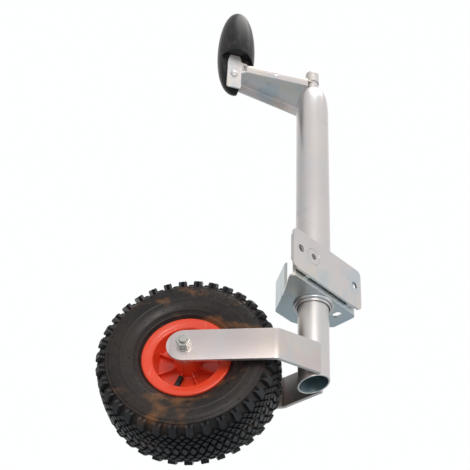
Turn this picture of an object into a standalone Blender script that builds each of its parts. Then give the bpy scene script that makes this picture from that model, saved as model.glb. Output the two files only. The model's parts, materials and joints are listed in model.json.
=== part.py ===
"""A tongue jack stand: a crank-up jockey wheel on a swing-away mounting bracket.

The frame: X runs along the mounting plate, Y points from the plate towards the leg, Z is up.
The origin is the centre of the plate's outer face.
"""

import math

import bmesh
import bpy
from mathutils import Vector

MM = 0.001
GAP = 0.3 * MM

# Driving dimensions.
PLATE_LENGTH = 139 * MM
PLATE_HEIGHT = 65 * MM
PLATE_THICK = 3.5 * MM
PLATE_RETURN = 6 * MM
TUBE_X = 8.5 * MM
TUBE_Y = 34 * MM
OUTER_R = 24 * MM
OUTER_WALL = 1.8 * MM
OUTER_STRAIGHT = 347 * MM
SWAGE_HEIGHT = 60 * MM
SWAGE_TOP_R = 11 * MM
INNER_R = 21 * MM
INNER_WALL = 2 * MM
INNER_LENGTH = 428 * MM
INNER_SHOWN = 122 * MM
FORK_YAW = math.radians(128)
FORK_OFFSET = 162 * MM
AXLE_ABOVE_END = 30 * MM
ARM_OUTER = 62 * MM
ARM_THICK = 5 * MM
ARM_HEIGHT = 46 * MM
TYRE_R = 122 * MM
TYRE_HALF_WIDTH = 48 * MM
RIM_SEAT_R = 45 * MM
RIM_LIP_R = 59.5 * MM
HUB_HALF = 44 * MM
HUB_BORE_R = 11 * MM
AXLE_R = 5 * MM
CRANK_YAW = math.radians(149)
CRANK_REACH = 127 * MM
GRIP_R = 28.5 * MM
GRIP_HALF_LENGTH = 84 * MM
SPINDLE_R = 9 * MM
SHEET = 3 * MM
BRACKET_WALL = 60 * MM
PIVOT_HEAD_R = 12 * MM
PIVOT_HEAD_THICK = 1.8 * MM
CHANNEL_BACK = -4 * MM
CHANNEL_HUB_FAR = 60 * MM
CHANNEL_END_FAR = 32 * MM
CHANNEL_FLANGE = 17 * MM
RIVET_DROP = 26 * MM
EAR_HALF = 11 * MM
EAR_DROP = 54 * MM
EAR_RISE = 13 * MM
RECESS_R = 41 * MM
GRIP_OFFSET = 5 * MM
SCREW_CIRCLE = 29 * MM
SCREW_COUNT = 4
VALVE_ANGLE = math.radians(-68)
VALVE_Y = 16.6 * MM

# Levels worked out from them.
WEB_Z = -PLATE_HEIGHT / 2 - 8 * MM
OUTER_BOTTOM = WEB_Z - 7 * MM
SWAGE_Z = OUTER_BOTTOM + OUTER_STRAIGHT
OUTER_TOP = SWAGE_Z + SWAGE_HEIGHT
INNER_BOTTOM = OUTER_BOTTOM - INNER_SHOWN
INNER_TOP = INNER_BOTTOM + INNER_LENGTH
AXLE_Z = INNER_BOTTOM + AXLE_ABOVE_END
CRANK_Z = OUTER_TOP + 15 * MM
CHANNEL_NEAR = SPINDLE_R + GAP + SHEET
PIVOT_X = TUBE_X - 38 * MM
PIVOT_Z = 3.5 * MM
LOCK_X = PLATE_LENGTH / 2 - 14 * MM
BOLT_HOLE_X = -PLATE_LENGTH / 2 + 15 * MM
BRACKET_FRONT = OUTER_R + 3.4 * MM
CHANNEL_END = CRANK_REACH - EAR_HALF - 1 * MM
ROUND = 32


def clear_scene():
    for old in list(bpy.data.objects):
        bpy.data.objects.remove(old, do_unlink=True)


def material(name, colour, roughness, metallic=0.0):
    made = bpy.data.materials.new(name)
    made.use_nodes = True
    shader = made.node_tree.nodes["Principled BSDF"]
    shader.inputs["Base Color"].default_value = (*colour, 1.0)
    shader.inputs["Roughness"].default_value = roughness
    shader.inputs["Metallic"].default_value = metallic
    return made


ZINC = (0.62, 0.61, 0.62)
BOLT_STEEL = (0.55, 0.52, 0.45)
BLACK_PLASTIC = (0.02, 0.02, 0.022)
TYRE_BLACK = (0.035, 0.03, 0.028)
RED_PLASTIC = (0.78, 0.08, 0.03)
WHITE_NYLON = (0.8, 0.8, 0.76)
BRASS = (0.7, 0.5, 0.2)
BRONZE = (0.45, 0.3, 0.14)


def empty(name, location, turn=0.0, parent=None):
    made = bpy.data.objects.new(name, None)
    made.empty_display_size = 0.03
    made.location = location
    made.rotation_euler = (0.0, 0.0, turn)
    made.parent = parent
    bpy.context.scene.collection.objects.link(made)
    return made


def finish(name, bm, parent, look, location=(0, 0, 0), rotation=(0, 0, 0), smooth=True):
    """Turns a bmesh into a named object with its own material, hung on its parent."""
    bmesh.ops.remove_doubles(bm, verts=bm.verts, dist=1e-6)
    bmesh.ops.recalc_face_normals(bm, faces=bm.faces)
    if bm.calc_volume(signed=True) < 0:
        bmesh.ops.reverse_faces(bm, faces=bm.faces)
    mesh = bpy.data.meshes.new(name)
    bm.to_mesh(mesh)
    bm.free()
    made = bpy.data.objects.new(name, mesh)
    made.location = location
    made.rotation_euler = rotation
    made.parent = parent
    bpy.context.scene.collection.objects.link(made)
    if look:
        colour, roughness, metallic = look
        mesh.materials.append(material(name + "_finish", colour, roughness, metallic))
    if smooth:
        mesh.shade_smooth()
        mesh.set_sharp_from_angle(angle=math.radians(35))
    return made


def ring_of(section, steps=ROUND):
    """Revolves a closed section of (radius, height) points about Z."""
    bm = bmesh.new()
    verts = [bm.verts.new((radius, 0, height)) for radius, height in section]
    edges = [bm.edges.new((a, b)) for a, b in zip(verts, verts[1:] + verts[:1])]
    bmesh.ops.spin(
        bm,
        geom=verts + edges,
        cent=(0, 0, 0),
        axis=(0, 0, 1),
        angle=math.tau,
        steps=steps,
        use_merge=True,
    )
    bmesh.ops.remove_doubles(bm, verts=bm.verts, dist=1e-6)
    on_axis = [e for e in bm.edges if all(v.co.xy.length < 1e-7 for v in e.verts)]
    bmesh.ops.delete(bm, geom=on_axis, context="EDGES")
    return bm


def tube_section(inner, outer, low, high):
    return [(inner, low), (outer, low), (outer, high), (inner, high)]


def rod_section(radius, low, high, bevel=0.0):
    if not bevel:
        return [(0, low), (radius, low), (radius, high), (0, high)]
    lower = [(0, low), (radius - bevel, low), (radius, low + bevel)]
    return lower + [(radius, high - bevel), (radius - bevel, high), (0, high)]


def prism(outline, low, high):
    """Extrudes a closed (x, y) outline from one height to another."""
    bm = bmesh.new()
    face = bm.faces.new([bm.verts.new((x, y, low)) for x, y in outline])
    lifted = bmesh.ops.extrude_face_region(bm, geom=[face])["geom"]
    verts = [item for item in lifted if isinstance(item, bmesh.types.BMVert)]
    bmesh.ops.translate(bm, verts=verts, vec=(0, 0, high - low))
    return bm


def box(low, high):
    outline = [(low[0], low[1]), (high[0], low[1]), (high[0], high[1]), (low[0], high[1])]
    return prism(outline, low[2], high[2])


def rounded(corners, radius, steps=5):
    """Rounds every corner of an outline of (x, y) points."""
    points = []
    for index, corner in enumerate(corners):
        here = Vector(corner)
        back = (Vector(corners[index - 1]) - here).normalized()
        ahead = (Vector(corners[(index + 1) % len(corners)]) - here).normalized()
        half = back.angle(ahead) / 2
        centre = here + (back + ahead).normalized() * (radius / math.sin(half))
        start = here + back * (radius / math.tan(half)) - centre
        finish_at = here + ahead * (radius / math.tan(half)) - centre
        for step in range(steps + 1):
            spoke = start.lerp(finish_at, step / steps).normalized() * radius
            points.append(tuple(centre + spoke))
    return points


def helper(name, bm, parent, location=(0, 0, 0), rotation=(0, 0, 0)):
    """A shape that only cuts or joins: it is never rendered and never becomes a node."""
    made = finish(name, bm, parent, None, location, rotation, smooth=False)
    made.hide_render = True
    made.display_type = "WIRE"
    return made


def combine(target, other, operation="DIFFERENCE"):
    change = target.modifiers.new(operation.lower() + "_" + other.name, "BOOLEAN")
    change.operation = operation
    change.object = other
    change.solver = "EXACT"


def facing(axis):
    """The rotation that turns a shape's Z axis to X or Y."""
    return {"x": (0, math.pi / 2, 0), "y": (-math.pi / 2, 0, 0), "z": (0, 0, 0)}[axis]


def round_cut(target, name, radius, low, high, parent, location, axis="y", steps=24):
    cutter = helper(name, ring_of(rod_section(radius, low, high), steps), parent, location, facing(axis))
    combine(target, cutter)


def hexagon(across_flats):
    radius = across_flats / math.sqrt(3)
    return [(radius * math.cos(k * math.pi / 3), radius * math.sin(k * math.pi / 3)) for k in range(6)]


ZINC_LOOK = (ZINC, 0.35, 1.0)
BOLT_LOOK = (BOLT_STEEL, 0.3, 1.0)
NYLON_LOOK = (WHITE_NYLON, 0.45, 0.0)


# The mounting side, which stays on the trailer.

def mount_plate(root):
    half_x = PLATE_LENGTH / 2
    half_z = PLATE_HEIGHT / 2
    corners = [(-half_x, -half_z), (half_x, -half_z), (half_x, half_z), (-half_x, half_z)]
    bm = prism(rounded(corners, 9 * MM), -PLATE_THICK, 0)
    plate = finish("mount_plate", bm, root, ZINC_LOOK, rotation=(math.pi / 2, 0, 0))
    lip_half = half_z - 11 * MM
    lip = box((-half_x, PLATE_THICK / 2, -lip_half), (-half_x + 3 * MM, PLATE_RETURN, lip_half))
    combine(plate, helper("plate_side_lip", lip, root), "UNION")
    for index, x in enumerate((-half_x + 29 * MM, -half_x + 113 * MM)):
        tab = box((x, PLATE_THICK / 2, -half_z), (x + 7 * MM, PLATE_RETURN, -half_z + 5 * MM))
        combine(plate, helper(f"plate_tab_{index + 1}", tab, root), "UNION")
    deep = 12 * MM
    round_cut(plate, "lock_hole_cut", 5.4 * MM, -deep, deep, root, (LOCK_X, 0, PIVOT_Z))
    round_cut(plate, "bolt_hole_cut", 5.5 * MM, -deep, deep, root, (BOLT_HOLE_X, 0, PIVOT_Z))
    round_cut(plate, "pivot_hole_cut", 9 * MM, -deep, deep, root, (PIVOT_X, 0, PIVOT_Z))
    sunk = PIVOT_HEAD_THICK + 1.3 * GAP
    round_cut(plate, "pivot_head_cut", PIVOT_HEAD_R + GAP, -deep, sunk, root, (PIVOT_X, 0, PIVOT_Z))


def pivot_rivet(root):
    """A hollow rivet: its head lies flush in the plate and its shank carries the bracket."""
    bore = 4.5 * MM
    shank = 7.5 * MM
    tail = 11 * MM
    wall_inside = TUBE_Y - BRACKET_FRONT + SHEET + GAP
    under_head = PIVOT_HEAD_THICK + GAP / 3
    section = [
        (bore, -wall_inside - 2.5 * MM),
        (tail, -wall_inside - 2.5 * MM),
        (tail, -wall_inside),
        (shank, -wall_inside),
        (shank, -PLATE_THICK),
        (shank + 1.1 * MM, -PLATE_THICK),
        (shank + 1.1 * MM, -under_head),
        (PIVOT_HEAD_R, -under_head),
        (PIVOT_HEAD_R, -GAP / 3),
        (bore, -GAP / 3),
    ]
    finish("pivot_rivet", ring_of(section, 32), root, ZINC_LOOK, (PIVOT_X, 0, PIVOT_Z), (math.pi / 2, 0, 0))


def pivot_washer(root):
    low = PLATE_THICK + GAP
    section = tube_section(8 * MM, 14 * MM, low, low + 2.4 * MM)
    finish("pivot_washer", ring_of(section, 32), root, NYLON_LOOK, (PIVOT_X, 0, PIVOT_Z), facing("y"))


# The outer leg, which swings on the pivot.

def outer_section():
    outer = [(OUTER_R, OUTER_BOTTOM), (OUTER_R, SWAGE_Z)]
    inner = [(OUTER_R - OUTER_WALL, SWAGE_Z), (OUTER_R - OUTER_WALL, OUTER_BOTTOM)]
    steps = 7
    bulge = OUTER_R - SWAGE_TOP_R
    for step in range(1, steps + 1):
        along = math.sin(step / steps * math.pi / 2)
        radius = SWAGE_TOP_R + bulge * math.sqrt(1 - along**3)
        height = SWAGE_Z + along * SWAGE_HEIGHT
        outer.append((radius, height))
        if step < steps:
            inner.insert(0, (radius - OUTER_WALL, height - 0.5 * OUTER_WALL * along))
    lip = SPINDLE_R + 0.5 * MM
    return outer + [(lip, OUTER_TOP), (lip, OUTER_TOP - 2.2 * MM)] + inner


def outer_tube(leg):
    finish("outer_tube", ring_of(outer_section()), leg, ZINC_LOOK)


def bracket_outline():
    return [
        (-77 * MM, -BRACKET_FRONT),
        (57 * MM, -BRACKET_FRONT),
        (57 * MM, 12 * MM),
        (34 * MM, 38 * MM),
        (10 * MM, 48 * MM),
        (-24 * MM, 48 * MM),
        (-49 * MM, 9 * MM),
    ]


def swivel_bracket(leg):
    """A pressed tray round the tube: a base web, a front wall and side walls of their own heights."""
    outline = rounded(bracket_outline(), 6 * MM, 4)
    tray = finish("swivel_bracket", prism(outline, WEB_Z, WEB_Z + BRACKET_WALL), leg, ZINC_LOOK)
    inside = [
        (-70 * MM, -BRACKET_FRONT + SHEET),
        (57 * MM - SHEET, -BRACKET_FRONT + SHEET),
        (57 * MM - SHEET, 11 * MM),
        (32.5 * MM, 35.5 * MM),
        (9.5 * MM, 48 * MM - SHEET),
        (-22.4 * MM, 48 * MM - SHEET),
        (-46 * MM, 8 * MM),
    ]
    high = WEB_Z + BRACKET_WALL + 5 * MM
    combine(tray, helper("tray_hollow", prism(rounded(inside, 4 * MM, 4), WEB_Z + SHEET, high), leg))
    left_open = box((-90 * MM, -BRACKET_FRONT + SHEET, WEB_Z + SHEET), (-49.5 * MM, 40 * MM, high))
    combine(tray, helper("tray_left_opening", left_open, leg))
    back_low = box((-16 * MM, -BRACKET_FRONT + SHEET, WEB_Z + 14 * MM), (70 * MM, 60 * MM, high))
    combine(tray, helper("tray_back_step", back_low, leg))
    side_top = box((-80 * MM, -BRACKET_FRONT + SHEET, WEB_Z + 47 * MM), (-10 * MM, 60 * MM, high))
    combine(tray, helper("tray_side_top", side_top, leg))
    bore = ring_of(rod_section(OUTER_R + GAP, WEB_Z - 10 * MM, high), ROUND)
    combine(tray, helper("tray_tube_hole", bore, leg))
    pivot = (PIVOT_X - TUBE_X, -BRACKET_FRONT, PIVOT_Z)
    round_cut(tray, "tray_pivot_hole", 7.8 * MM, -6 * MM, 6 * MM, leg, pivot)
    lock = (LOCK_X - TUBE_X, -BRACKET_FRONT, PIVOT_Z)
    round_cut(tray, "tray_lock_hole", 5.4 * MM, -6 * MM, 6 * MM, leg, lock)
    slot = [(32 * MM, -17 * MM), (42 * MM, -17 * MM), (42 * MM, -3 * MM), (32 * MM, -3 * MM)]
    oblong = rounded(slot, 4.9 * MM)
    combine(tray, helper("tray_web_slot", prism(oblong, WEB_Z - 5 * MM, WEB_Z + 10 * MM), leg))


def collar_ring(leg):
    low = WEB_Z - 3.6 * MM
    section = tube_section(OUTER_R + GAP, OUTER_R + 3.5 * MM, low, WEB_Z - GAP)
    finish("collar_ring", ring_of(section), leg, ZINC_LOOK)


def thrust_bearing(leg):
    low = SWAGE_Z + 30 * MM
    section = tube_section(SPINDLE_R + 0.5 * MM, 15 * MM, low, low + 8 * MM)
    finish("thrust_bearing", ring_of(section, 32), leg, BOLT_LOOK)


def lock_housing(leg):
    start = BRACKET_FRONT - SHEET - GAP
    section = tube_section(6.6 * MM, 9 * MM, 0, 26 * MM)
    section[3:] = [(5.4 * MM, 26 * MM), (5.4 * MM, 23.5 * MM), (6.6 * MM, 23.5 * MM)]
    finish("lock_housing", ring_of(section, 32), leg, ZINC_LOOK,
           (LOCK_X - TUBE_X, -start, PIVOT_Z), facing("y"))


def lock_pin(slide):
    """The plunger: its tip lies in the front wall and its stem ends in a knob."""
    section = [
        (0, 0), (4.4 * MM, 0), (5 * MM, 0.6 * MM), (5 * MM, 8 * MM), (6.3 * MM, 8 * MM), (6.3 * MM, 10 * MM),
        (3.2 * MM, 10 * MM), (3.2 * MM, 34 * MM), (0, 34 * MM),
    ]
    finish("lock_pin", ring_of(section, 24), slide, BOLT_LOOK, rotation=facing("y"))
    knob = [
        (3.5 * MM, 30 * MM), (8 * MM, 30 * MM), (10.5 * MM, 34 * MM), (10.5 * MM, 41 * MM),
        (8 * MM, 44 * MM), (0, 44 * MM), (0, 34.3 * MM), (3.5 * MM, 34.3 * MM),
    ]
    finish("lock_knob", ring_of(knob, 24), slide, (BLACK_PLASTIC, 0.4, 0.0), rotation=facing("y"))


def helix(name, radius, wire, turns, length, parent, location, rotation):
    """A closed spring: a round wire swept along a helix."""
    bm = bmesh.new()
    steps = 10 * turns
    sides = 5
    rise = length / (math.tau * radius * turns)
    lean = math.atan(rise)
    rings = []
    for step in range(steps + 1):
        turn = math.tau * turns * step / steps
        out = Vector((math.cos(turn), math.sin(turn), 0))
        along = Vector((-math.sin(turn), math.cos(turn), 0)) * math.cos(lean) + Vector((0, 0, math.sin(lean)))
        side = out.cross(along)
        centre = out * radius + Vector((0, 0, length * step / steps))
        spokes = [math.tau * k / sides for k in range(sides)]
        rings.append([bm.verts.new(centre + (out * math.cos(a) + side * math.sin(a)) * wire) for a in spokes])
    for low, high in zip(rings, rings[1:]):
        for k in range(sides):
            bm.faces.new((low[k], low[(k + 1) % sides], high[(k + 1) % sides], high[k]))
    bm.faces.new(rings[0])
    bm.faces.new(rings[-1])
    return finish(name, bm, parent, BOLT_LOOK, location, rotation)


def lock_spring(slide):
    helix("lock_spring", 4.9 * MM, 0.7 * MM, 5, 11 * MM, slide, (0, 11.2 * MM, 0), facing("y"))


# The crank, its spindle and the grip.

def spindle(crank):
    low = WEB_Z + 60 * MM
    finish("spindle", ring_of(rod_section(SPINDLE_R, low, CRANK_Z + 20 * MM, 1 * MM), 32), crank, BOLT_LOOK)


def spindle_collar(crank):
    low = SWAGE_Z + 20 * MM
    section = tube_section(SPINDLE_R + GAP, 14 * MM, low, low + 9.5 * MM)
    finish("spindle_collar", ring_of(section, 32), crank, BOLT_LOOK)


def spindle_cap(crank):
    low = CRANK_Z + 3 * MM + GAP
    outer = 10.4 * MM
    top = low + 24 * MM
    section = [(SPINDLE_R + GAP, low), (outer, low), (outer, top - 6 * MM)]
    for step in range(1, 5):
        turn = step / 5 * math.pi / 2
        section.append((outer * math.cos(turn), top - 6 * MM + 6 * MM * math.sin(turn)))
    section += [(0, top), (0, CRANK_Z + 20.4 * MM), (SPINDLE_R + GAP, CRANK_Z + 20.4 * MM)]
    finish("spindle_cap", ring_of(section, 32), crank, ZINC_LOOK)


def channel_outline(inset, back, front):
    near = CHANNEL_NEAR - inset
    return [
        (back, -CHANNEL_HUB_FAR + inset),
        (front, -CHANNEL_END_FAR + inset),
        (front, near),
        (back, near),
    ]


def ear_outline():
    """The near flange's end, from where it leaves the channel, as (along, up) points."""
    inner = CRANK_REACH - EAR_HALF
    outer = CRANK_REACH + EAR_HALF
    start = CHANNEL_END - 8 * MM
    return [
        (start, -CHANNEL_FLANGE),
        (inner, -CHANNEL_FLANGE - 4 * MM),
        (inner, -EAR_DROP),
        (outer, -EAR_DROP),
        (outer, -1 * MM),
        (outer - 3 * MM, EAR_RISE),
        (inner + 3 * MM, EAR_RISE),
        (inner, 0),
        (start, 0),
    ]


def crank_arm(crank):
    """A tapered channel, open below, whose near flange runs on as the ear that carries the grip."""
    top = CRANK_Z + SHEET
    low = top - CHANNEL_FLANGE
    blank = prism(channel_outline(0, CHANNEL_BACK, CHANNEL_END), low, top)
    arm = finish("crank_arm", blank, crank, ZINC_LOOK)
    hollow = channel_outline(SHEET, CHANNEL_BACK - 20 * MM, CHANNEL_END + 20 * MM)
    combine(arm, helper("channel_hollow", prism(hollow, low - 5 * MM, CRANK_Z), crank))
    ends = (low - 5 * MM, top + 5 * MM)
    beside = box((-1 * MM, SPINDLE_R, ends[0]), (SPINDLE_R + 2 * MM, 20 * MM, ends[1]))
    combine(arm, helper("channel_spindle_notch", beside, crank))
    behind = box((-20 * MM, 0, ends[0]), (0, 20 * MM, ends[1]))
    combine(arm, helper("channel_back_notch", behind, crank))
    outline = rounded(ear_outline(), 2 * MM, 3)
    at = (0, CHANNEL_NEAR, top)
    combine(arm, helper("ear_blank", prism(outline, 0, SHEET), crank, at, (math.pi / 2, 0, 0)), "UNION")
    round_cut(arm, "spindle_hole_cut", SPINDLE_R + GAP, -30 * MM, 30 * MM, crank, (0, 0, CRANK_Z), "z", 32)
    rivet_at = (CRANK_REACH, CHANNEL_NEAR, top - RIVET_DROP)
    round_cut(arm, "grip_rivet_hole_cut", 3.6 * MM, -10 * MM, 10 * MM, crank, rivet_at)


def grip_rivet(crank):
    shank = 3.3 * MM
    head = 5.6 * MM
    section = [
        (0, -26 * MM), (shank, -26 * MM), (shank, GAP), (head, GAP),
        (head, 1.2 * MM), (4 * MM, 2.6 * MM), (0, 3 * MM),
    ]
    at = (CRANK_REACH, CHANNEL_NEAR, CRANK_Z + SHEET - RIVET_DROP)
    finish("grip_rivet", ring_of(section, 24), crank, ZINC_LOOK, at, facing("y"))


def channel_room():
    """What the channel's end passes through as the grip folds, as (along, up) points from the hinge."""
    sweep = 42 * MM
    top = RIVET_DROP + 2 * MM
    edge = -(EAR_HALF - 1 * MM)
    start = math.pi - math.asin(top / sweep)
    end = math.pi + math.acos(-edge / sweep)
    turns = [start + (end - start) * step / 10 for step in range(11)]
    return [(edge, top)] + [(sweep * math.cos(turn), sweep * math.sin(turn)) for turn in turns]


def grip(hinge):
    """An egg-shaped handle, with a round recess in its side where the ear lies."""
    axis_y = -(SHEET + 13 * MM)
    centre_z = GRIP_HALF_LENGTH - 24 * MM
    section = [(0, -GRIP_HALF_LENGTH)]
    steps = 14
    for step in range(1, steps):
        turn = -math.pi / 2 + math.pi * step / steps
        radius = GRIP_R * math.cos(turn) ** 0.82 * (1 - 0.05 * math.sin(turn))
        section.append((radius, GRIP_HALF_LENGTH * math.sin(turn)))
    section.append((0, GRIP_HALF_LENGTH))
    at = (-GRIP_OFFSET, axis_y, centre_z)
    egg = finish("grip", ring_of(section, 28), hinge, (BLACK_PLASTIC, 0.42, 0.0), at)
    face = -(SHEET + 0.6 * MM)
    recess = ring_of(rod_section(RECESS_R, face, 40 * MM), ROUND)
    combine(egg, helper("grip_recess", recess, hinge, rotation=facing("y")))
    lowest = box((-40 * MM, face, -60 * MM), (40 * MM, 40 * MM, -20 * MM))
    combine(egg, helper("grip_recess_foot", lowest, hinge))
    bite = prism(channel_room(), -60 * MM, 60 * MM)
    combine(egg, helper("grip_channel_room", bite, hinge, rotation=(math.pi / 2, 0, 0)))
    round_cut(egg, "grip_bore", 3.7 * MM, -60 * MM, 40 * MM, hinge, (0, 0, 0))


# The nut that the spindle drives.

def spindle_nut(carriage):
    top = INNER_TOP - 8 * MM
    inside = INNER_R - INNER_WALL - GAP
    finish("spindle_nut", ring_of(tube_section(SPINDLE_R + GAP, inside, top - 24 * MM, top), 36), carriage,
           (BRONZE, 0.4, 1.0))


def nut_circlip(carriage):
    top = INNER_TOP - 8 * MM
    inside = INNER_R - INNER_WALL - GAP
    section = tube_section(13 * MM, inside, top + GAP, top + 1.8 * MM)
    finish("nut_circlip", ring_of(section, 36), carriage, BOLT_LOOK)


# The fork: the inner tube, its two arms and the axle.

def inner_tube(fork):
    section = tube_section(INNER_R - INNER_WALL, INNER_R, INNER_BOTTOM, INNER_TOP)
    tube = finish("inner_tube", ring_of(section), fork, ZINC_LOOK)
    slope = math.radians(14)
    cutter = helper("tube_end_cut", box((-60 * MM, -60 * MM, -60 * MM), (60 * MM, 60 * MM, 0)), fork,
                    (INNER_R, 0, INNER_BOTTOM), (0, slope, 0))
    combine(tube, cutter)


def arm_path(offset):
    """One face of the strip seen from above: past the axle, round the bend, on to the tube's side."""
    slant = math.radians(36)
    bend = 42 * MM + offset * math.tan(slant / 2)
    flat = ARM_OUTER - offset
    touch = math.pi / 2 + slant
    beside = INNER_R + GAP + ARM_THICK - offset
    short = 6 * MM
    end_x = beside * math.cos(touch) + short * math.cos(slant)
    end_y = beside * math.sin(touch) + short * math.sin(slant)
    return [(FORK_OFFSET + ARM_HEIGHT / 2, flat), (bend, flat), (end_x, end_y)]


def nose_corner(sign):
    """What is cut from a square strip end to round it: the corner outside a quarter circle."""
    nose = ARM_HEIGHT / 2
    far = nose + 5 * MM
    quarter = [step / 8 * math.pi / 2 for step in range(9)]
    curve = [(nose * math.sin(turn), sign * nose * math.cos(turn)) for turn in quarter]
    return curve + [(far, 0), (far, sign * far), (0, sign * far)]


def fork_arm(name, fork, side):
    outline = [(x, y * side) for x, y in arm_path(0) + arm_path(ARM_THICK)[::-1]]
    low = AXLE_Z - ARM_HEIGHT / 2
    arm = finish(name, prism(outline, low, low + ARM_HEIGHT), fork, ZINC_LOOK)
    for place, sign in (("upper", 1), ("lower", -1)):
        at = (FORK_OFFSET, side * (ARM_OUTER - ARM_THICK / 2), AXLE_Z)
        corner = prism(nose_corner(sign), -20 * MM, 20 * MM)
        combine(arm, helper(f"{name}_nose_{place}", corner, fork, at, (math.pi / 2, 0, 0)))
    at = (FORK_OFFSET, side * ARM_OUTER, AXLE_Z)
    round_cut(arm, name + "_axle_hole", AXLE_R + GAP, -20 * MM, 20 * MM, fork, at)


def axle_parts(axle):
    """Everything on the axle that doesn't turn with the wheel. The near side is +Y."""
    shank = rod_section(AXLE_R, -ARM_OUTER - 2.3 * MM, ARM_OUTER + 14.5 * MM, 0.8 * MM)
    bolt = finish("axle_bolt", ring_of(shank, 24), axle, BOLT_LOOK, rotation=facing("y"))
    head_face = ARM_OUTER + 2.3 * MM
    blank = prism(hexagon(17 * MM), -head_face - 7 * MM, -head_face)
    head = helper("axle_bolt_head", blank, axle, rotation=facing("y"))
    combine(bolt, head, "UNION")
    nut = finish("axle_nut", prism(hexagon(17 * MM), ARM_OUTER + 2.4 * MM, ARM_OUTER + 11.5 * MM), axle,
                 BOLT_LOOK, rotation=facing("y"), smooth=False)
    soften(nut, 0.9 * MM)
    round_cut(nut, "axle_nut_bore", AXLE_R + GAP, 0, 100 * MM, axle, (0, 0, 0))
    for name, side in (("near", 1), ("far", -1)):
        low = ARM_OUTER + GAP
        section = tube_section(AXLE_R + GAP, 10.5 * MM, low, low + 1.7 * MM)
        turned = (-side * math.pi / 2, 0, 0)
        finish(f"axle_washer_{name}", ring_of(section, 32), axle, ZINC_LOOK, rotation=turned)
        start = HUB_HALF + 3.2 * MM
        section = tube_section(AXLE_R + 1.5 * MM, 9 * MM, start, ARM_OUTER - ARM_THICK - GAP)
        finish(f"hub_spacer_{name}", ring_of(section, 24), axle, ZINC_LOOK, rotation=turned)
    half = ARM_OUTER - ARM_THICK - GAP
    sleeve = tube_section(AXLE_R + GAP, AXLE_R + 1.2 * MM, -half, half)
    finish("axle_sleeve", ring_of(sleeve, 24), axle, ZINC_LOOK, rotation=facing("y"))


def soften(target, width):
    bevel = target.modifiers.new("soft_edges", "BEVEL")
    bevel.width = width
    bevel.segments = 2
    bevel.limit_method = "ANGLE"
    bevel.angle_limit = math.radians(50)


# The wheel: two moulded rim halves bolted together round the tyre's beads.

def rim_section():
    return [
        (HUB_BORE_R, GAP / 2),
        (RIM_SEAT_R, GAP / 2),
        (RIM_SEAT_R, 29.5 * MM),
        (RIM_LIP_R - 2 * MM, 31 * MM),
        (RIM_LIP_R, 33.5 * MM),
        (RIM_LIP_R - 1.5 * MM, 36 * MM),
        (RIM_LIP_R - 5 * MM, 36.5 * MM),
        (RIM_SEAT_R + 1 * MM, 34 * MM),
        (RIM_SEAT_R - 4 * MM, 29 * MM),
        (RIM_SEAT_R - 5.5 * MM, 12 * MM),
        (19 * MM, 12 * MM),
        (17 * MM, 16 * MM),
        (17 * MM, HUB_HALF - 1 * MM),
        (16 * MM, HUB_HALF),
        (HUB_BORE_R, HUB_HALF),
    ]


def screw_places():
    turns = [math.radians(45) + math.tau * k / SCREW_COUNT for k in range(SCREW_COUNT)]
    return [(SCREW_CIRCLE * math.cos(turn), 0, SCREW_CIRCLE * math.sin(turn)) for turn in turns]


def rim_half(name, wheel, side):
    turned = (-side * math.pi / 2, 0, 0)
    rim = finish(name, ring_of(rim_section(), 28), wheel, (RED_PLASTIC, 0.3, 0.0), rotation=turned)
    for index, at in enumerate(screw_places()):
        round_cut(rim, f"{name}_screw_hole_{index + 1}", 3.4 * MM, -30 * MM, 9.4 * MM, wheel, at, steps=16)
    if side > 0:
        across = (math.pi / 2 - VALVE_ANGLE)
        bore = ring_of(rod_section(4.6 * MM, 30 * MM, 60 * MM), 20)
        combine(rim, helper("valve_hole_cut", bore, wheel, (0, VALVE_Y, 0), (0, across, 0)))


def rim_screws(wheel):
    """Screws put in from the far side, which end blind inside the near half."""
    for index, at in enumerate(screw_places()):
        head = prism(hexagon(10 * MM), -16.6 * MM, -12.4 * MM)
        screw = finish(f"rim_screw_{index + 1}", head, wheel, BOLT_LOOK, at, facing("y"))
        shank = ring_of(rod_section(3 * MM, -14 * MM, 9 * MM), 16)
        combine(screw, helper(f"rim_screw_shank_{index + 1}", shank, wheel, at, facing("y")), "UNION")


def hub_bushes(wheel):
    for name, side in (("near", 1), ("far", -1)):
        outer = HUB_BORE_R - GAP
        section = [
            (AXLE_R + 1.5 * MM, 24 * MM), (outer, 24 * MM),
            (outer, HUB_HALF + GAP), (15 * MM, HUB_HALF + GAP),
            (15 * MM, HUB_HALF + 2.8 * MM), (AXLE_R + 1.5 * MM, HUB_HALF + 2.8 * MM),
        ]
        turned = (-side * math.pi / 2, 0, 0)
        finish(f"hub_bush_{name}", ring_of(section, 32), wheel, NYLON_LOOK, rotation=turned)


def tyre_outside(shrink):
    """One half of the tyre's outline, from the rim up the sidewall to the crown."""
    middle = 86 * MM
    half = TYRE_HALF_WIDTH - shrink
    crown = TYRE_R - middle - shrink * 1.5
    points = []
    for step in range(3):
        turn = math.radians(-63 + 21 * step)
        points.append((middle + 31 * MM * math.sin(turn), half * math.cos(turn) ** 0.55))
    for step in range(7):
        turn = step / 6 * math.pi / 2
        points.append((middle + crown * math.sin(turn) ** 0.85, half * math.cos(turn) ** 0.8))
    return points


def tyre(wheel):
    bead = RIM_SEAT_R + GAP
    outside = [(bead, 21 * MM), (bead, 28.5 * MM), (RIM_LIP_R - 3 * MM, 29.5 * MM)] + tyre_outside(0)
    inside = tyre_outside(6 * MM)[::-2] + [(RIM_LIP_R - 6 * MM, 23.5 * MM)]
    far_outside = [(r, -y) for r, y in outside[:-1]][::-1]
    far_inside = [(r, -y) for r, y in inside[1:]][::-1]
    section = outside + far_outside + far_inside + inside
    finish("tyre", ring_of(section, 36), wheel, (TYRE_BLACK, 0.8, 0.0), rotation=facing("y"))


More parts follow.
